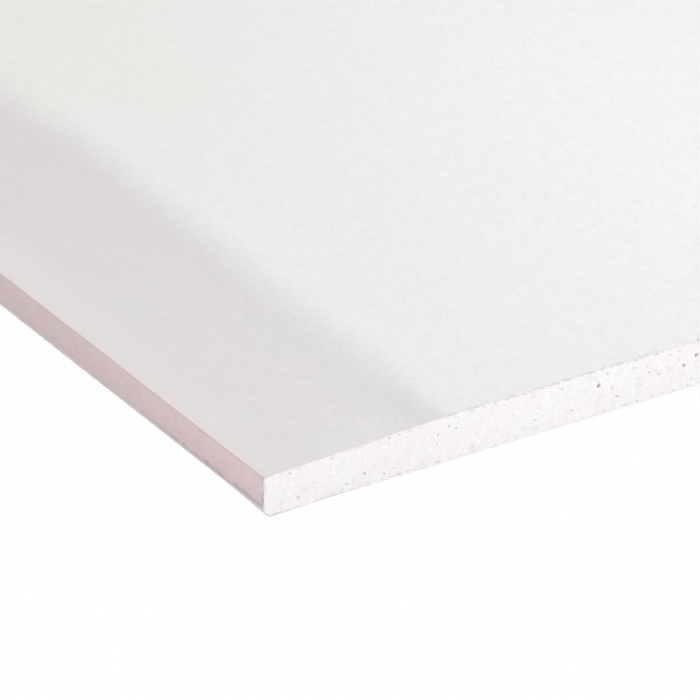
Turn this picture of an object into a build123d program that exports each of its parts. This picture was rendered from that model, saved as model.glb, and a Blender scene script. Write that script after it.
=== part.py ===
"""A drywall sheet with two tapered long edges: a gypsum core, a face paper and a back paper.

The face paper covers the face, folds down both long edges and laps under the back, and the
narrower back paper is glued over those laps. Both papers are pressed flush on the back, so each
lap steps up over the back paper's edge. The ends are cut square through all three, so each piece
is a cross-section on the YZ plane, extruded along the sheet.

The sheet lies on its back. X runs along its length, Y across its width and Z up through its
thickness, in millimetres, from the middle of the back paper's underside.
"""

from build123d import *

import os

# The sheet, over its papers
board_length = 2400.0
board_width = 1200.0
board_thickness = 12.5

# The recess along each long edge of the face, which takes the joint tape and its filler
taper_width = 52.0
taper_depth = 2.0
taper_blend_radius = 350.0  # where the slope runs out into the flat face

# The outer side of the folds in the face paper
face_fold_radius = 0.5
back_fold_radius = 2.8

# The papers, and how they meet on the back
face_paper_thickness = 0.35
back_paper_thickness = 0.30
bare_lap_width = 12.0  # the part of each lap outside the back paper
glued_lap_width = 18.0  # the part of each lap under the back paper

# Places in the cross-section, where side_y is the plane of a long edge
side_y = board_width / 2
side_top_z = board_thickness - taper_depth
flat_face_edge_y = side_y - taper_width
back_fold_start_y = side_y - back_fold_radius
back_fold_centre = (back_fold_start_y, back_fold_radius)
back_paper_edge_y = side_y - bare_lap_width
lap_edge_y = back_paper_edge_y - glued_lap_width


def extrude_along_sheet():
    """Extrudes the section in the current part to both cut ends."""
    extrude(amount=board_length / 2, both=True)


# The whole sheet, out to the outer side of its papers
with BuildSketch() as sheet_section:
    with BuildLine():
        back_fold = CenterArc(back_fold_centre, back_fold_radius, start_angle=-90, arc_size=90)
        Polyline(back_fold @ 1, (side_y, side_top_z), (flat_face_edge_y, board_thickness))
        mirror(about=Plane.YZ)
        Line((-flat_face_edge_y, board_thickness), (flat_face_edge_y, board_thickness))
        Line((-back_fold_start_y, 0), (back_fold_start_y, 0))
    make_face()
    fillet(vertices().group_by(Axis.Y)[-2], face_fold_radius)
    fillet(vertices().group_by(Axis.Y)[-1], taper_blend_radius)

# Flat, and flush with the bare part of each lap
with BuildSketch() as back_paper_section:
    Rectangle(2 * back_paper_edge_y, back_paper_thickness, align=(Align.CENTER, Align.MIN))

# The inside of the face paper, less the room for the glued laps, down to the back paper between them
with BuildSketch() as gypsum_section:
    add(sheet_section.sketch)
    offset(amount=-face_paper_thickness, mode=Mode.REPLACE)
    Rectangle(
        2 * (back_paper_edge_y + face_paper_thickness),
        back_paper_thickness + face_paper_thickness,
        align=(Align.CENTER, Align.MIN),
        mode=Mode.SUBTRACT,
    )
    with Locations((0, back_paper_thickness)):
        Rectangle(2 * lap_edge_y, face_paper_thickness, align=(Align.CENTER, Align.MIN))

# Cast between the papers, so it fills the inside of the folds
with BuildPart() as gypsum_core:
    with BuildSketch(Plane.YZ):
        add(gypsum_section.sketch)
    extrude_along_sheet()

# One web of paper round the face, the long edges and the laps, open along the middle of the back
with BuildPart() as face_paper:
    with BuildSketch(Plane.YZ):
        add(sheet_section.sketch)
        add(gypsum_section.sketch, mode=Mode.SUBTRACT)
        add(back_paper_section.sketch, mode=Mode.SUBTRACT)
    extrude_along_sheet()

# Laid last, over the gypsum and both laps
with BuildPart() as back_paper:
    with BuildSketch(Plane.YZ):
        add(back_paper_section.sketch)
    extrude_along_sheet()

gypsum_core.part.label = "gypsum_core"
face_paper.part.label = "face_paper"
back_paper.part.label = "back_paper"

os.makedirs("parts", exist_ok=True)
export_step(gypsum_core.part, "parts/gypsum_core.step")
export_step(face_paper.part, "parts/face_paper.step")
export_step(back_paper.part, "parts/back_paper.step")
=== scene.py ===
"""A tapered drywall sheet lying face up, seen from above one corner."""

import math
import random

import bmesh
import bpy
from mathutils import Matrix, Vector, noise


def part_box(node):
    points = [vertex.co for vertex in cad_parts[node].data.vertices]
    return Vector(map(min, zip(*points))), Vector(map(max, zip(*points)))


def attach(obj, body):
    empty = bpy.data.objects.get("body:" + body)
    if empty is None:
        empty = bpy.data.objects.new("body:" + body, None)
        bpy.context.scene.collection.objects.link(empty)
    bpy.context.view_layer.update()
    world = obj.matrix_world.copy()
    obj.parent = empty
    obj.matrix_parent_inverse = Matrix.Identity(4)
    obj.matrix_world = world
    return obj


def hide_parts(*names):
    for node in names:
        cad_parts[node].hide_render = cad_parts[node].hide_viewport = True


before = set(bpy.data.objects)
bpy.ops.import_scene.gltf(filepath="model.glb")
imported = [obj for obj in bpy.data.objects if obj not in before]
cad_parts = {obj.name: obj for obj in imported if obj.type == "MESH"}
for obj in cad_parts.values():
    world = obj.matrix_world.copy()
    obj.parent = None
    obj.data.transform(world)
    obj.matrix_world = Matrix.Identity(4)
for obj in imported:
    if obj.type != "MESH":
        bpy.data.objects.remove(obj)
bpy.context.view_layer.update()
mm = 0.001

# Face paper
# One web of smooth off-white paper. It is folded up round both long edges of the wet gypsum and
# turned under the back, so it shows on the face, on the two edges and as a bare strip beneath.

paper_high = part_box("face_paper")[1]
core_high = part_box("gypsum_core")[1]
back_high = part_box("back_paper")[1]
half_length = paper_high.x
half_width = paper_high.y
face_z = paper_high.z
back_paper_edge_y = back_high.y
back_paper_top_z = back_high.z
face_paper_thickness = face_z - core_high.z

taper_width = 52 * mm
taper_depth = 2 * mm
taper_blend_radius = 350 * mm
face_fold_radius = 0.5 * mm
back_fold_radius = 2.8 * mm
glued_lap_width = 18 * mm
lap_edge_y = back_paper_edge_y - glued_lap_width
flare = 0.4 * mm
flare_length = 22 * mm

# Each bend is an arc about its centre, and the slope of the taper is straight between two of them
taper_slope = math.atan2(taper_depth, taper_width)
side_top_z = face_z - taper_depth
face_fold_y = half_width - face_fold_radius
face_fold_z = side_top_z + face_fold_radius * (math.tan(taper_slope) - 1 / math.cos(taper_slope))
break_y = half_width - taper_width - taper_blend_radius * math.tan(taper_slope / 2)
back_fold_centre = Vector((0, half_width - back_fold_radius, back_fold_radius))
face_fold_centre = Vector((0, face_fold_y, face_fold_z))
break_centre = Vector((0, break_y, face_z - taper_blend_radius))


def straight_to(section, start, y, z, runs=1):
    """Draws a straight line of the section, in one or more runs, and returns its far vertex."""
    target = Vector((start.co.x, y, z))
    step = (target - start.co) / runs
    for _ in range(runs):
        end = section.verts.new(start.co + step)
        section.edges.new((start, end))
        start = end
    return start


def bend_round(section, start, centre, angle, steps):
    """Draws an arc of the section about a centre and returns its far vertex."""
    pivot = (start.co.x, centre.y, centre.z)
    arc = bmesh.ops.spin(
        section, geom=[start], cent=pivot, axis=(1, 0, 0), angle=angle, steps=steps
    )
    return [item for item in arc["geom_last"] if isinstance(item, bmesh.types.BMVert)][0]


def draw_wrap(section, start, inset):
    """Draws the paper's line from a lap's end to the face's middle, inset from its outer side."""
    end = straight_to(section, start, back_paper_edge_y + inset, start.co.z)
    end = straight_to(section, end, end.co.y, inset)
    end = straight_to(section, end, back_fold_centre.y, inset)
    end = bend_round(section, end, back_fold_centre, math.radians(90), 8)
    end = straight_to(section, end, half_width - inset, face_fold_centre.z, runs=5)
    end = bend_round(section, end, face_fold_centre, math.radians(90) - taper_slope, 6)
    break_reach = taper_blend_radius - inset
    slope_end_y = break_centre.y + break_reach * math.sin(taper_slope)
    slope_end_z = break_centre.z + break_reach * math.cos(taper_slope)
    end = straight_to(section, end, slope_end_y, slope_end_z, runs=9)
    end = bend_round(section, end, break_centre, taper_slope, 12)
    straight_to(section, end, 0, face_z - inset, runs=4)


def flare_corners(work):
    """Squares the lower folds towards the cut ends, where the knife's pull opened them a little."""
    for vertex in work.verts:
        mirrored = vertex.co.copy()
        mirrored.y = abs(mirrored.y)
        outwards = (mirrored - back_fold_centre).yz.normalized()
        if outwards.x > 0 and outwards.y < 0:
            near_end = max(0, 1 - (half_length - abs(vertex.co.x)) / flare_length) ** 2
            push = flare * near_end * 2 * outwards.x * -outwards.y
            vertex.co.y += math.copysign(push * outwards.x, vertex.co.y)
            vertex.co.z += push * outwards.y


def mirror_section(section):
    """Completes a half section with its mirror image across the middle of the sheet."""
    half = section.verts[:] + section.edges[:]
    bmesh.ops.mirror(section, geom=half, axis="Y", merge_dist=0.001 * mm)


def finish_piece(work, name):
    """Turns a finished bmesh into a piece with smooth curves, crisp cut edges and even flats."""
    bmesh.ops.recalc_face_normals(work, faces=work.faces)
    for face in work.faces:
        face.smooth = True
    crisp_angle = math.radians(35)
    for edge in work.edges:
        if edge.is_manifold and edge.calc_face_angle() > crisp_angle:
            edge.smooth = False
    mesh = bpy.data.meshes.new(name)
    work.to_mesh(mesh)
    work.free()
    piece = bpy.data.objects.new(name, mesh)
    bpy.context.scene.collection.objects.link(piece)
    piece.modifiers.new("even_flats", "WEIGHTED_NORMAL").keep_sharp = True
    return piece


web = bmesh.new()
draw_wrap(web, web.verts.new((-half_length, lap_edge_y, back_paper_top_z)), 0)
mirror_section(web)
web_steps = 300
web_step = Vector((2 * half_length / web_steps, 0, 0))
bmesh.ops.spin(
    web,
    geom=web.verts[:] + web.edges[:],
    cent=(0, 0, 0),
    axis=(1, 0, 0),
    dvec=web_step,
    steps=web_steps,
)

# The folded edges are a little uneven along the sheet, as pressed paper is
fold_waviness = 0.06 * mm
for vertex in web.verts:
    if abs(vertex.co.y) > half_width - back_fold_radius:
        side = math.copysign(1, vertex.co.y)
        wave = noise.noise(Vector((vertex.co.x * 45, vertex.co.z * 60, side * 5)))
        vertex.co.y += side * fold_waviness * wave

flare_corners(web)

# The knife leaves the paper's ends torn, in places a little short of the gypsum, and pulls out a
# burr where the paper turns under
end_edges = [
    edge
    for edge in web.edges
    if abs(edge.verts[0].co.x) > half_length - mm and abs(edge.verts[1].co.x) > half_length - mm
]
tear_spacing = 0.6 * mm
burr = 0.7 * mm
burr_width = 14 * mm
for edge in end_edges:
    cuts = int(edge.calc_length() / tear_spacing)
    if cuts:
        bmesh.ops.subdivide_edges(web, edges=[edge], cuts=cuts)
for vertex in web.verts:
    if abs(vertex.co.x) > half_length - mm:
        tear = noise.noise(vertex.co * 280) + 0.7 * noise.noise(vertex.co * 1100)
        tear_depth = max(0, 0.06 + 0.3 * tear) * mm
        from_fold = half_width - abs(vertex.co.y)
        turned_under = vertex.co.z < mm
        if turned_under and from_fold < burr_width:
            tear_depth -= burr * (1 - from_fold / burr_width) * (1 + 0.8 * tear)
        vertex.co.x -= tear_depth * math.copysign(1, vertex.co.x)

bmesh.ops.recalc_face_normals(web, faces=web.faces)
bmesh.ops.solidify(web, geom=web.faces[:], thickness=face_paper_thickness)
face_paper = finish_piece(web, "face_paper_web")


class Shading:
    """The nodes of one material or node group, with a short call for each kind that is needed."""

    def __init__(self, tree):
        self.tree = tree

    def put_in(self, socket, value):
        """Links another node's output into a socket, or sets the socket to a plain value."""
        if isinstance(value, bpy.types.NodeSocket):
            self.tree.links.new(value, socket)
        else:
            socket.default_value = value

    def add(self, kind, **inputs):
        """Adds a node, fills its named inputs and returns its outputs."""
        node = self.tree.nodes.new(kind)
        for name, value in inputs.items():
            self.put_in(node.inputs[name.replace("_", " ")], value)
        return node.outputs

    def work_out(self, operation, first, second=0.0):
        """Works out one number from one or two others."""
        node = self.tree.nodes.new("ShaderNodeMath")
        node.operation = operation
        self.put_in(node.inputs[0], first)
        self.put_in(node.inputs[1], second)
        return node.outputs["Value"]

    def times(self, *masks):
        """Multiplies masks together."""
        product = masks[0]
        for mask in masks[1:]:
            product = self.work_out("MULTIPLY", product, mask)
        return product

    def fade(self, value, start, end, most=1.0):
        """Makes a mask that rises smoothly from 0, with the value at start, to its most at end."""
        node = self.tree.nodes.new("ShaderNodeMapRange")
        node.interpolation_type = "SMOOTHSTEP"
        numbers = (("Value", value), ("From Min", start), ("From Max", end), ("To Max", most))
        for name, number in numbers:
            self.put_in(node.inputs[name], number)
        return node.outputs["Result"]

    def band(self, value, rise_start, rise_end, fall_start, fall_end):
        """Makes a mask that rises and falls again between the given places, which are in order."""
        rise = self.fade(value, rise_start, rise_end)
        return self.times(rise, self.fade(value, fall_end, fall_start))

    def tint(self, colour, other, mask):
        """Brings a second colour into the first where the mask says."""
        node = self.tree.nodes.new("ShaderNodeMix")
        node.data_type = "RGBA"
        self.put_in(node.inputs[0], mask)
        for socket, value in ((node.inputs[6], colour), (node.inputs[7], other)):
            self.put_in(socket, (*value, 1) if isinstance(value, tuple) else value)
        return node.outputs[2]

    def speckle(self, place, scale, detail=2.0, roughness=0.5):
        """A noise pattern with so many features in a metre."""
        return self.add(
            "ShaderNodeTexNoise", Vector=place, Scale=scale, Detail=detail, Roughness=roughness
        )[0]

    def streaks(self, place, scale, turn, squeeze):
        """A noise pattern of short streaks that lie at some degrees to the sheet's length."""
        turned = self.add("ShaderNodeMapping", Vector=place, Rotation=(0, 0, math.radians(turn)))[0]
        squeezed = self.add("ShaderNodeMapping", Vector=turned, Scale=(1, squeeze, 1))[0]
        return self.speckle(squeezed, scale, detail=1.0)

    def from_edges(self, place):
        """How far a point is in from the cut ends and from the long edges, and its height."""
        axis = self.add("ShaderNodeSeparateXYZ", Vector=place)
        from_end = self.work_out("SUBTRACT", half_length, self.work_out("ABSOLUTE", axis["X"]))
        from_side = self.work_out("SUBTRACT", half_width, self.work_out("ABSOLUTE", axis["Y"]))
        return from_end, from_side, axis["Z"]

    def use_group(self, group, **inputs):
        """Places a node group, fills its inputs and returns its outputs."""
        node = self.tree.nodes.new("ShaderNodeGroup")
        node.node_tree = group
        for name, value in inputs.items():
            self.put_in(node.inputs[name.replace("_", " ")], value)
        return node.outputs

    def finish(self, colour, roughness, height, strength, depth):
        """Ends a material with its surface: its colour, roughness and the relief that it feels."""
        relief = self.add("ShaderNodeBump", Height=height, Strength=strength, Distance=depth)
        surface = self.add(
            "ShaderNodeBsdfPrincipled",
            Base_Color=colour,
            Roughness=roughness,
            Normal=relief["Normal"],
        )
        self.add("ShaderNodeOutputMaterial", Surface=surface["BSDF"])


def start_group(name, inputs, outputs):
    """Makes a node group and returns it, its nodes, its inputs' sockets and its output node."""
    group = bpy.data.node_groups.new(name, "ShaderNodeTree")
    for socket, kind in inputs.items():
        group.interface.new_socket(socket, in_out="INPUT", socket_type=kind)
    for socket in outputs:
        group.interface.new_socket(socket, in_out="OUTPUT", socket_type="NodeSocketFloat")
    entry = group.nodes.new("NodeGroupInput").outputs
    return group, Shading(group), entry, group.nodes.new("NodeGroupOutput")


def start_material(name):
    """Makes a material and returns it with its nodes, none as yet."""
    material = bpy.data.materials.new(name)
    material.use_nodes = True
    material.node_tree.nodes.clear()
    return material, Shading(material.node_tree)


# How the fibres of a paper settled: slow clouds, a fine mottle, small specks and single fibres
formation, nodes, entry, result = start_group(
    "paper_formation",
    {"Place": "NodeSocketVector", "Fibres in a Metre": "NodeSocketFloat"},
    ("Cloud", "Mottle", "Speck", "Fibre", "Height"),
)
mottle = nodes.speckle(entry["Place"], 230, detail=3.0, roughness=0.6)
specks = nodes.speckle(entry["Place"], 950, detail=1.0)
fibre_along = nodes.streaks(entry["Place"], entry["Fibres in a Metre"], 24, 3.5)
fibre_across = nodes.streaks(entry["Place"], entry["Fibres in a Metre"], -38, 3.5)
fibre = nodes.fade(nodes.work_out("MAXIMUM", fibre_along, fibre_across), 0.58, 0.74)
nodes.put_in(result.inputs["Cloud"], nodes.speckle(entry["Place"], 24, detail=3.0))
nodes.put_in(result.inputs["Mottle"], mottle)
nodes.put_in(result.inputs["Speck"], nodes.fade(specks, 0.6, 0.74))
nodes.put_in(result.inputs["Fibre"], fibre)
nodes.put_in(result.inputs["Height"], nodes.work_out("ADD", mottle, nodes.times(fibre, 0.35)))

# Where a knife has cut through a paper, in dashes of torn fibre along the cut
cut_edge, nodes, entry, result = start_group(
    "paper_cut_edge",
    {"Place": "NodeSocketVector", "Surface Normal": "NodeSocketVector"},
    ("Cut", "Torn"),
)
facing = nodes.add("ShaderNodeSeparateXYZ", Vector=entry["Surface Normal"])
facing_end = nodes.work_out("ABSOLUTE", facing["X"])
torn = nodes.speckle(entry["Place"], 330, detail=3.0, roughness=0.65)
nodes.put_in(result.inputs["Cut"], nodes.fade(facing_end, 0.4, 0.7))
nodes.put_in(result.inputs["Torn"], nodes.fade(torn, 0.46, 0.6))

paper_material, nodes = start_material("face_paper_liner")
place = nodes.add("ShaderNodeTexCoord")["Object"]
surface_normal = nodes.add("ShaderNodeNewGeometry")["Normal"]
from_end, from_side, height = nodes.from_edges(place)
liner = nodes.use_group(formation, Place=place, Fibres_in_a_Metre=700.0)
cut = nodes.use_group(cut_edge, Place=place, Surface_Normal=surface_normal)
patch = nodes.speckle(place, 62, detail=4.0, roughness=0.62)
along_fibres = nodes.add("ShaderNodeMapping", Vector=place, Scale=(0.65, 1, 1))[0]
grain = nodes.speckle(along_fibres, 560, detail=3.0, roughness=0.6)

# The face is off-white with faint slow clouds, and painted greyer by the long edges and far from
# the cuts as a slow shade of the light
blue_white = (0.886, 0.898, 0.908)
warm_white = (0.894, 0.896, 0.901)
long_edge_shade_grey = (0.629, 0.588, 0.560)
far_shade_grey = (0.545, 0.549, 0.456)
mottle_grey = (0.63, 0.62, 0.61)
colour = nodes.tint(blue_white, warm_white, nodes.fade(liner["Cloud"], 0.4, 0.6))
colour = nodes.tint(colour, long_edge_shade_grey, nodes.fade(from_side, 220 * mm, 60 * mm, 0.28))
colour = nodes.tint(colour, far_shade_grey, nodes.fade(from_end, 0.0, 360 * mm, 0.3))
colour = nodes.tint(colour, mottle_grey, nodes.fade(liner["Mottle"], 0.36, 0.66, 0.07))

# The strip that was pressed down is painted greyer as the shade of its slope, in pink and green
# patches near the cut, and painted darker as shade where the slope ends and far from the cut.
# Towards the cut it gets paler as painted light, most of all in a small area beside it.
slope_shade_pink = (0.698, 0.663, 0.658)
slope_shade_green = (0.683, 0.674, 0.664)
slope_end_shade_grey = (0.677, 0.658, 0.652)
slope_far_shade_grey = (0.60, 0.575, 0.565)
slope_lit_pale = (0.724, 0.705, 0.702)
slope_lit_palest = (0.76, 0.735, 0.735)
ragged = nodes.times(nodes.work_out("SUBTRACT", liner["Cloud"], 0.5), 8 * mm)
narrower_by_cut = nodes.fade(from_end, 25 * mm, 6 * mm, 3 * mm)
from_ragged_side = nodes.work_out("ADD", from_side, nodes.work_out("ADD", ragged, narrower_by_cut))
patchy = nodes.times(nodes.fade(patch, 0.44, 0.62), nodes.fade(from_end, 190 * mm, 60 * mm))
slope_shade = nodes.tint(slope_shade_pink, slope_shade_green, patchy)
# Painted shade, darkest where the slope ends, and more of it far from the cut
slope_shade = nodes.tint(slope_shade, slope_end_shade_grey, nodes.fade(from_ragged_side, 34 * mm, 45 * mm, 0.8))
slope_shade = nodes.tint(slope_shade, slope_far_shade_grey, nodes.fade(from_end, 90 * mm, 190 * mm, 0.25))
# Painted light towards the cut, strongest in a small area beside it
lit_by_cut = nodes.band(from_side, 2 * mm, 22 * mm, 44 * mm, 58 * mm)
lit_by_cut = nodes.times(lit_by_cut, nodes.fade(from_end, 130 * mm, 8 * mm, 0.8))
slope_shade = nodes.tint(slope_shade, slope_lit_pale, lit_by_cut)
most_lit_by_cut = nodes.band(from_side, 12 * mm, 28 * mm, 36 * mm, 44 * mm)
most_lit_by_cut = nodes.times(most_lit_by_cut, nodes.fade(from_end, 16 * mm, 4 * mm, 0.6))
slope_shade = nodes.tint(slope_shade, slope_lit_palest, most_lit_by_cut)
is_pressed = nodes.fade(from_ragged_side, 61 * mm, 43 * mm)
colour = nodes.tint(colour, slope_shade, is_pressed)

# A painted grey shadow runs in from the cut along the end of the slope
break_shadow_grey = (0.641, 0.641, 0.645)
break_shadow = nodes.band(from_side, 41 * mm, 45 * mm, 49 * mm, 53 * mm)
break_shadow = nodes.times(break_shadow, nodes.fade(from_end, 34 * mm, 8 * mm, 0.5))
colour = nodes.tint(colour, break_shadow_grey, break_shadow)

# The paper's grain, stronger where it is pressed, with small specks and single pale fibres
grain_grey = (0.542, 0.535, 0.528)
fibre_pale = (0.785, 0.777, 0.770)
grain_weight = nodes.work_out("ADD", nodes.times(is_pressed, 0.08), 0.06)
grain_shade = nodes.times(nodes.fade(grain, 0.36, 0.66), grain_weight)
colour = nodes.tint(colour, grain_grey, grain_shade)
colour = nodes.tint(colour, grain_grey, nodes.times(liner["Speck"], 0.2))
colour = nodes.tint(colour, fibre_pale, nodes.times(liner["Fibre"], 0.1))

# The face is paler and pinker towards the fold, and pinker still on its lip
fold_pale_pink = (0.759, 0.716, 0.717)
lip_pink = (0.725, 0.645, 0.643)
colour = nodes.tint(colour, fold_pale_pink, nodes.fade(from_side, 18 * mm, 3 * mm, 0.45))
lip = nodes.work_out("ADD", nodes.fade(grain, 0.42, 0.58, 0.4), 0.3)
lip = nodes.times(lip, nodes.fade(from_side, 3.4 * mm, 1.2 * mm))
colour = nodes.tint(colour, lip_pink, lip)

# Pink down the long edge in browner and redder patches, paler towards the corner, and with a redder
# ragged mark right by the cut
edge_red = (0.821, 0.648, 0.670)
edge_brown = (0.800, 0.667, 0.652)
under_lip_shade_brown = (0.705, 0.629, 0.596)
corner_pink = (0.900, 0.735, 0.760)
edge_grain = (0.629, 0.505, 0.505)
edge_mottle = (0.648, 0.524, 0.524)
knife_red = (0.629, 0.420, 0.486)
edge_patch = nodes.speckle(place, 130, detail=3.0, roughness=0.65)
edge_colour = nodes.tint(edge_red, edge_brown, nodes.fade(edge_patch, 0.42, 0.58))
# Painted shade, grey-brown in patches, just under the fold's lip
under_lip_shade = nodes.fade(height, side_top_z - 3.4 * mm, side_top_z - 0.5 * mm)
under_lip_shade = nodes.times(under_lip_shade, nodes.fade(edge_patch, 0.56, 0.42, 0.6))
edge_colour = nodes.tint(edge_colour, under_lip_shade_brown, under_lip_shade)
edge_colour = nodes.tint(edge_colour, corner_pink, nodes.fade(from_end, 150 * mm, 5 * mm, 0.85))
edge_colour = nodes.tint(edge_colour, edge_grain, nodes.fade(grain, 0.44, 0.75, 0.2))
edge_colour = nodes.tint(edge_colour, edge_mottle, nodes.fade(liner["Mottle"], 0.42, 0.7, 0.16))
knife_mark = nodes.fade(from_end, 2.2 * mm, 0.4 * mm)
knife_mark = nodes.times(knife_mark, nodes.fade(grain, 0.42, 0.56, 0.7))
edge_colour = nodes.tint(edge_colour, knife_red, knife_mark)

# Near the corner it is darker in ragged dashes over its lower fold, as dirt together with painted
# shade, and the lower fold is painted pale all along as light thrown up from the white floor
dirt_and_shade_brown = (0.486, 0.372, 0.401)
floor_light_white = (0.971, 0.933, 0.942)
dirt_and_shade_height = nodes.work_out("ADD", nodes.times(grain, 3.4 * mm), 1.75 * mm)
dirt_and_shade = nodes.fade(height, dirt_and_shade_height, nodes.work_out("SUBTRACT", dirt_and_shade_height, 0.8 * mm))
dirt_and_shade = nodes.times(dirt_and_shade, nodes.fade(from_end, 65 * mm, 28 * mm, 0.5))
edge_colour = nodes.tint(edge_colour, dirt_and_shade_brown, dirt_and_shade)
# Painted light from the floor on the lower fold
edge_colour = nodes.tint(edge_colour, floor_light_white, nodes.fade(height, 2.75 * mm, 1.6 * mm, 0.92))

# The pink starts paler in a wavering line just over the fold
fold_line_pink = (0.80, 0.69, 0.69)
waver = nodes.times(nodes.work_out("SUBTRACT", liner["Cloud"], 0.5), 3 * mm)
over_side = nodes.work_out("SUBTRACT", height, side_top_z)
over_side = nodes.work_out("ADD", over_side, nodes.times(waver, 0.6))
edge_colour = nodes.tint(edge_colour, fold_line_pink, nodes.fade(over_side, -0.9 * mm, -0.2 * mm, 0.5))
over_fold = nodes.fade(nodes.work_out("ADD", from_side, waver), 0.85 * mm, 0.1 * mm)
down_side = nodes.fade(height, side_top_z - 0.1 * mm, side_top_z - 0.6 * mm)
over_fold = nodes.work_out("MAXIMUM", over_fold, down_side)
colour = nodes.tint(colour, edge_colour, over_fold)

# By the flat face the cut edge of the paper shows the grey board inside it, and its rim is frayed.
# Elsewhere it is paler, and the burr that stands past the cut is grey-pink.
frayed_grey = (0.62, 0.60, 0.59)
cut_white = (0.88, 0.85, 0.845)
torn_pink = (0.76, 0.71, 0.71)
board_pale = (0.83, 0.80, 0.795)
board_grey = (0.69, 0.665, 0.655)
by_flat_face = nodes.fade(from_side, 42 * mm, 54 * mm, 0.85)
by_flat_face = nodes.times(by_flat_face, nodes.fade(height, 6 * mm, 8 * mm))
grey_cut = nodes.work_out("ADD", by_flat_face, 0.15)
frayed_reach = nodes.work_out("ADD", nodes.times(grain, 2.4 * mm), -0.35 * mm)
frayed = nodes.fade(from_end, frayed_reach, nodes.work_out("SUBTRACT", frayed_reach, 0.25 * mm))
frayed = nodes.times(frayed, nodes.work_out("ADD", nodes.times(cut["Torn"], 0.4), 0.12), grey_cut)
colour = nodes.tint(colour, frayed_grey, frayed)
cut_colour = nodes.tint(cut_white, torn_pink, nodes.times(cut["Torn"], 0.6))
cut_board = nodes.tint(board_pale, board_grey, cut["Torn"])
cut_colour = nodes.tint(cut_colour, cut_board, grey_cut)
colour = nodes.tint(colour, cut_colour, cut["Cut"])
past_cut = nodes.fade(from_end, 0.0, -0.2 * mm)
colour = nodes.tint(colour, torn_pink, past_cut)

roughness = nodes.work_out("ADD", nodes.times(nodes.fade(liner["Mottle"], 0.3, 0.7), 0.06), 0.82)
nodes.finish(colour, roughness, liner["Height"], 0.25, 0.05 * mm)
face_paper.data.materials.append(paper_material)
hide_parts("face_paper")
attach(face_paper, "root")

# Gypsum core
# Foamed gypsum that set between the papers, bare where the sheet was cut. Air bubbles that the
# knife opened are small pits in the ends, and along both papers the cut arris is chipped.

pit_count = 1000  # tried at each end, where those that would run into another are left out
chip_spacing = 2.4 * mm
outline_spacing = 2 * mm
ring_reach = 0.6  # a little over what a pit's rim gets from its middle, as a share of its width
blend_reach = 8 * mm  # a little over what the arc into the flat face takes up past the taper
fold_margin = 3 * mm
deep_share = 0.08  # of the random pits
dimple_share = 0.37  # wide and shallow ones, of the random pits
seen_width = 130 * mm  # a little more of the end than the camera sees
# The clearest pits of the end that the camera sees: from the side, up from the back, across, in mm
seen_pits = (
    (7.3, 9.6, 0.7), (9.5, 2.5, 0.7), (19, 10.3, 0.6), (23.2, 2.1, 0.7), (28.2, 3.5, 0.7),
    (33.8, 1.9, 0.6), (35, 9.8, 0.5), (49, 8, 0.7), (52.2, 9.4, 0.7), (54.2, 8.3, 0.7),
    (48.8, 5.4, 0.6), (84.8, 10.2, 0.6), (87.8, 3.4, 0.7), (95.6, 8.1, 0.9), (98.1, 10.5, 0.7),
    (99.5, 6.4, 0.6), (106, 9.8, 0.7), (110.4, 7.4, 0.7), (116.7, 10.4, 0.6), (120.8, 6.5, 0.8),
    (124.5, 8.4, 0.9), (119.2, 10.9, 0.5), (123, 1.9, 0.6),
)

core = bmesh.new()
pit_number = core.verts.layers.int.new("pit_number")
middle = core.verts.new((-half_length, 0, back_paper_top_z))
wrap_start = straight_to(core, middle, lap_edge_y, back_paper_top_z)
wrap_start = straight_to(core, wrap_start, lap_edge_y, back_paper_top_z + face_paper_thickness)
draw_wrap(core, wrap_start, face_paper_thickness)
mirror_section(core)
for edge in core.edges[:]:
    cuts = int(edge.calc_length() / outline_spacing)
    if cuts:
        bmesh.ops.subdivide_edges(core, edges=[edge], cuts=cuts)
section_edges = core.edges[:]
for run in (flare_length, 2 * (half_length - flare_length), flare_length):
    cast = bmesh.ops.extrude_edge_only(core, edges=section_edges)
    cast_vertices = [item for item in cast["geom"] if isinstance(item, bmesh.types.BMVert)]
    section_edges = [item for item in cast["geom"] if isinstance(item, bmesh.types.BMEdge)]
    section_edges = [edge for edge in section_edges if set(edge.verts) <= set(cast_vertices)]
    bmesh.ops.translate(core, verts=cast_vertices, vec=(run, 0, 0))
flare_corners(core)


def add_pit(pits, y, z, wide, high, depth):
    """Adds a pit if it stands clear of all the others, with a thin wall of gypsum between."""
    wall = 0.05 * mm
    if all(
        abs(y - pit[0]) > ring_reach * (wide + pit[2]) + wall
        or abs(z - pit[1]) > ring_reach * (high + pit[3]) + wall
        for pit in pits
    ):
        pits.append((y, z, wide, high, depth))


def chip_arris(pits, bubbles):
    """Adds shallow chips, longer than they are high, along the gypsum's arris by the papers."""
    over_lap_z = back_paper_top_z + face_paper_thickness
    # From where to where across the end, how high, and whether the gypsum is above or below
    rows = (
        (-half_width + fold_margin, half_width - fold_margin, core_high.z, -1),
        (-lap_edge_y + 2 * mm, lap_edge_y - 2 * mm, back_paper_top_z, 1),
        (lap_edge_y + mm, back_paper_edge_y - mm, over_lap_z, 1),
        (-back_paper_edge_y + mm, -lap_edge_y - mm, over_lap_z, 1),
    )
    for start_y, end_y, arris_z, inwards in rows:
        y = start_y
        while y < end_y - 5 * mm:
            y += bubbles.uniform(0.3, 1.7) * chip_spacing
            wide = bubbles.triangular(0.6, 2.8, 1.0) * mm
            high = bubbles.uniform(0.28, 0.6) * mm
            z = arris_z + inwards * (0.06 * mm + high / 2)
            into_taper = abs(y) - (half_width - taper_width - blend_reach)
            if inwards < 0 and into_taper > 0:
                z -= 0.08 * mm + max(0, into_taper - blend_reach) * math.tan(taper_slope)
            add_pit(pits, y, z, wide, high, bubbles.uniform(0.12, 0.34) * mm)


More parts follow.
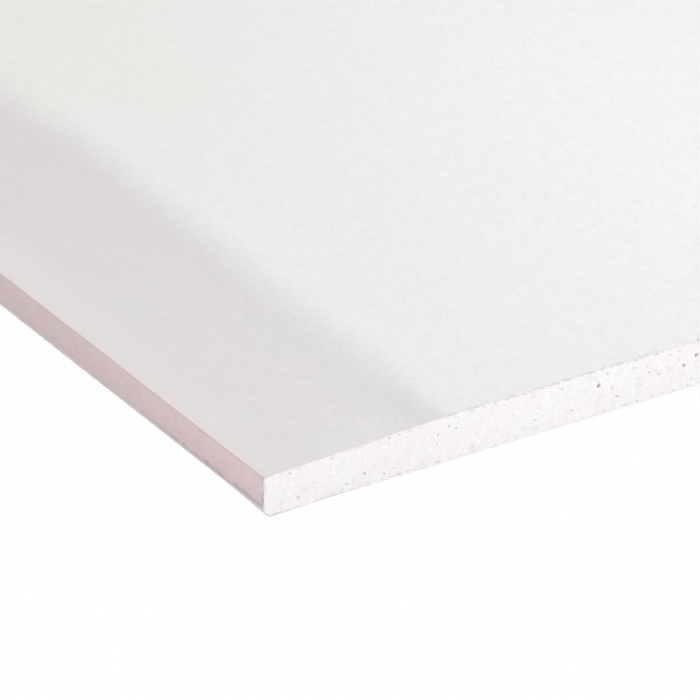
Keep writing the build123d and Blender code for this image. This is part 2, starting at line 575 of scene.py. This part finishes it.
def scatter_pits(pits, bubbles, placed_width):
    """Adds random pits that miss the face paper, none deep where the seen pits were placed."""
    for _ in range(pit_count):
        y = bubbles.uniform(-1, 1) * (half_width - fold_margin)
        z = bubbles.uniform(1.6 * mm, core_high.z - 0.5 * mm)
        kind = bubbles.random()
        if kind < deep_share:
            width, sunk = bubbles.uniform(0.9, 1.3) * mm, 0.6
        elif kind < deep_share + dimple_share:
            width, sunk = bubbles.uniform(0.8, 1.5) * mm, bubbles.uniform(0.1, 0.22)
        else:
            width, sunk = bubbles.uniform(0.35, 0.7) * mm, 0.32
        into_taper = max(0, abs(y) - (half_width - taper_width - blend_reach))
        highest_z = core_high.z - 0.1 * mm - into_taper * math.tan(taper_slope)
        in_paper = z + ring_reach * width > highest_z
        among_placed = sunk > 0.5 and y < placed_width - half_width
        if not in_paper and not among_placed:
            add_pit(pits, y, z, width, width * bubbles.uniform(0.6, 1), width * sunk)


# Each pit starts as an uneven ring on the end. The seen ones are made wider than they look, because
# only their middle is dark, and only the widest are deep.
bubbles = random.Random(23)
turned = Matrix.Rotation(math.radians(90), 4, "Y")
ring_mesh = bpy.data.meshes.new("ring")
ends = []
for end_x, placed_width in ((-half_length, 0), (half_length, seen_width)):
    pits = []
    if placed_width:
        for side, up, across in seen_pits:
            width = 1.5 * across * mm
            sunk = 0.62 if across > 0.75 else 0.3
            add_pit(pits, side * mm - half_width, up * mm, width, width, width * sunk)
    chip_arris(pits, bubbles)
    scatter_pits(pits, bubbles, placed_width)
    for number, (y, z, wide, high, _) in enumerate(pits, start=1):
        ring = bmesh.new()
        ring_number = ring.verts.layers.int.new("pit_number")
        segments = 11 if wide > 0.6 * mm else 7
        bmesh.ops.create_circle(ring, cap_ends=False, radius=0.5, segments=segments, matrix=turned)
        for vertex in ring.verts:
            vertex[ring_number] = number
            uneven = bubbles.uniform(0.82, 1.14)
            vertex.co = (end_x, y + vertex.co.y * wide * uneven, z + vertex.co.z * high * uneven)
        ring.to_mesh(ring_mesh)
        ring.free()
        core.from_mesh(ring_mesh)
    ends.append((end_x, pits))

# The end is filled round the rings, and each pit then narrows in two steps to a closed bottom
for end_x, pits in ends:
    border = [
        edge for edge in core.edges if all(abs(vertex.co.x - end_x) < mm for vertex in edge.verts)
    ]
    rims = [edge for edge in border if edge.verts[0][pit_number]]
    bmesh.ops.triangle_fill(core, use_beauty=True, edges=border, normal=(1, 0, 0))
    for narrowing, sinking in ((0.74, 0.35), (0.6, 0.65)):
        walls = bmesh.ops.extrude_edge_only(core, edges=rims)
        sunk_vertices = {item for item in walls["geom"] if isinstance(item, bmesh.types.BMVert)}
        for vertex in sunk_vertices:
            y, z, wide, high, depth = pits[vertex[pit_number] - 1]
            vertex.co.x -= math.copysign(sinking * depth, end_x)
            vertex.co.y = y + (vertex.co.y - y) * narrowing
            vertex.co.z = z + (vertex.co.z - z) * narrowing
        rims = [
            item
            for item in walls["geom"]
            if isinstance(item, bmesh.types.BMEdge) and set(item.verts) <= sunk_vertices
        ]
    bmesh.ops.edgeloop_fill(core, edges=rims)
gypsum_core = finish_piece(core, "cut_gypsum_core")

core_material, nodes = start_material("cut_gypsum")
place = nodes.add("ShaderNodeTexCoord")["Object"]
from_end, from_side, height = nodes.from_edges(place)
flow = nodes.speckle(place, 60)
lump = nodes.speckle(place, 800)
blotch = nodes.speckle(place, 330, detail=3.0, roughness=0.6)
crumb = nodes.speckle(place, 950, detail=3.0, roughness=0.65)

# Pink-white and grey-white by turns, a little greyer under the taper, mottled like set plaster, and
# painted darker down in the pits and chips as their shade
pink_white = (0.902, 0.862, 0.871)
grey_white = (0.891, 0.876, 0.882)
taper_grey = (0.80, 0.75, 0.76)
blotch_grey = (0.70, 0.66, 0.67)
crumb_grey = (0.66, 0.62, 0.63)
clump_white = (0.985, 0.975, 0.975)
crumb_white = (0.96, 0.95, 0.95)
pit_shade_grey = (0.47, 0.43, 0.43)
colour = nodes.tint(pink_white, grey_white, nodes.fade(flow, 0.42, 0.58))
colour = nodes.tint(colour, taper_grey, nodes.fade(from_side, 75 * mm, 35 * mm, 0.2))
colour = nodes.tint(colour, blotch_grey, nodes.fade(blotch, 0.54, 0.74, 0.42))
colour = nodes.tint(colour, crumb_grey, nodes.fade(crumb, 0.54, 0.8, 0.3))
clumps = nodes.times(nodes.fade(lump, 0.54, 0.7), nodes.fade(blotch, 0.6, 0.45))
colour = nodes.tint(colour, clump_white, nodes.times(clumps, 0.6))
colour = nodes.tint(colour, crumb_white, nodes.fade(crumb, 0.46, 0.25, 0.5))
colour = nodes.tint(colour, pit_shade_grey, nodes.fade(from_end, 0.03 * mm, 0.42 * mm, 0.68))
nodes.finish(colour, 0.92, nodes.work_out("ADD", lump, crumb), 0.4, 0.15 * mm)
gypsum_core.data.materials.append(core_material)
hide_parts("gypsum_core")
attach(gypsum_core, "root")

# Back paper
# Rough grey-buff paper, laid last on the gypsum and over both laps.

buff = (0.50, 0.46, 0.40)
grey_buff = (0.43, 0.41, 0.37)
back_mottle = (0.30, 0.27, 0.23)
back_fibre = (0.66, 0.62, 0.55)
back_cut_pale = (0.86, 0.84, 0.84)
back_cut_grey = (0.72, 0.68, 0.67)
back_material, nodes = start_material("back_paper_liner")
place = nodes.add("ShaderNodeTexCoord")["Object"]
surface_normal = nodes.add("ShaderNodeNewGeometry")["Normal"]
liner = nodes.use_group(formation, Place=place, Fibres_in_a_Metre=420.0)
cut = nodes.use_group(cut_edge, Place=place, Surface_Normal=surface_normal)
colour = nodes.tint(buff, grey_buff, nodes.fade(liner["Cloud"], 0.4, 0.6))
colour = nodes.tint(colour, back_mottle, nodes.fade(liner["Mottle"], 0.5, 0.8, 0.5))
colour = nodes.tint(colour, back_fibre, nodes.times(liner["Fibre"], 0.5))
back_cut = nodes.tint(back_cut_pale, back_cut_grey, nodes.times(cut["Torn"], 0.35))
colour = nodes.tint(colour, back_cut, cut["Cut"])
nodes.finish(colour, 0.85, liner["Height"], 0.4, 0.08 * mm)
back_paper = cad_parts["back_paper"]
back_paper.data.materials.clear()
back_paper.data.materials.append(back_material)

# Floor and backdrop
# A plain white floor that keeps a faint shadow, under a white surround.

floor_z = -0.1 * mm  # just under the lowest point of the uneven paper
floor_work = bmesh.new()
bmesh.ops.create_grid(floor_work, x_segments=1, y_segments=1, size=200)
bmesh.ops.translate(floor_work, verts=floor_work.verts, vec=(0, 0, floor_z))
floor = finish_piece(floor_work, "floor")


def mix_as_seen(nodes, hidden, shown, most):
    """Mixes two surfaces: the second for what the camera, a mirror or a clear pane sees."""
    ray = nodes.add("ShaderNodeLightPath")
    seen = nodes.work_out("MAXIMUM", ray["Is Camera Ray"], ray["Is Glossy Ray"])
    seen = nodes.work_out("MAXIMUM", seen, ray["Is Transmission Ray"])
    mix = nodes.tree.nodes.new("ShaderNodeMixShader")
    nodes.put_in(mix.inputs[0], nodes.times(seen, most))
    nodes.put_in(mix.inputs[1], hidden)
    nodes.put_in(mix.inputs[2], shown)
    return mix.outputs["Shader"]


floor_material, nodes = start_material("white_floor")
painted = nodes.add("ShaderNodeBsdfDiffuse", Color=(0.7, 0.7, 0.7, 1))["BSDF"]
glowing = nodes.add("ShaderNodeEmission", Strength=1.0)["Emission"]
nodes.add("ShaderNodeOutputMaterial", Surface=mix_as_seen(nodes, painted, glowing, 0.99))
floor.data.materials.append(floor_material)

world = bpy.data.worlds.new("studio")
bpy.context.scene.world = world
world.use_nodes = True
world.node_tree.nodes.clear()
nodes = Shading(world.node_tree)
ambient = nodes.add("ShaderNodeBackground", Color=(1, 1, 1, 1), Strength=0.22)["Background"]
surround = nodes.add("ShaderNodeBackground", Color=(1, 1, 1, 1), Strength=1.0)["Background"]
nodes.add("ShaderNodeOutputWorld", Surface=mix_as_seen(nodes, ambient, surround, 1.0))


def direction(azimuth, elevation):
    """The unit vector to a place given in degrees from +X towards +Y, and above the floor."""
    turn = math.radians(azimuth)
    rise = math.radians(elevation)
    level = math.cos(rise)
    return Vector((math.cos(turn) * level, math.sin(turn) * level, math.sin(rise)))


def add_lamp(name, towards, strength, spread):
    """Adds a distant soft lamp in a direction, with its strength and its spread in degrees."""
    lamp = bpy.data.lights.new(name, "SUN")
    lamp.energy = strength
    lamp.angle = math.radians(spread)
    lamp_object = bpy.data.objects.new(name, lamp)
    lamp_object.rotation_mode = "QUATERNION"
    lamp_object.rotation_quaternion = towards.to_track_quat("Z", "Y")
    bpy.context.scene.collection.objects.link(lamp_object)


add_lamp("key", direction(50, 28), 1.6, 14)
add_lamp("high_back", direction(132, 40), 2.0, 30)
add_lamp("front", direction(-43, 9), 1.85, 40)
add_lamp("far_end", direction(190, 9), 0.8, 40)

# Camera
# A long lens above one corner, so that a long edge and a cut end run away from it.

frame_pixels = 700
focal_pixels = 6773
corner_pixel_x = 263.8
corner_pixel_y = 494.5
camera_distance = 1.6
look_turn = math.radians(57.69)
look_down = math.radians(27.77)
sensor_width = 36

corner = Vector((half_length, -half_width, face_z / 2))
right = Vector((math.cos(look_turn), math.sin(look_turn), 0))
level_forward = Vector((-math.sin(look_turn), math.cos(look_turn), 0))
forward = level_forward * math.cos(look_down) - Vector((0, 0, math.sin(look_down)))
up = level_forward * math.sin(look_down) + Vector((0, 0, math.cos(look_down)))
across = (corner_pixel_x - frame_pixels / 2) / focal_pixels
above = -(corner_pixel_y - frame_pixels / 2) / focal_pixels
lens = bpy.data.cameras.new("camera")
lens.sensor_width = sensor_width
lens.lens = focal_pixels * sensor_width / frame_pixels
camera = bpy.data.objects.new("camera", lens)
camera_place = corner - camera_distance * (forward + across * right + above * up)
axes = Matrix((right, up, -forward)).transposed()
camera.matrix_world = Matrix.Translation(camera_place) @ axes.to_4x4()
bpy.context.scene.collection.objects.link(camera)
bpy.context.scene.camera = camera
bpy.context.scene.view_settings.view_transform = "Standard"
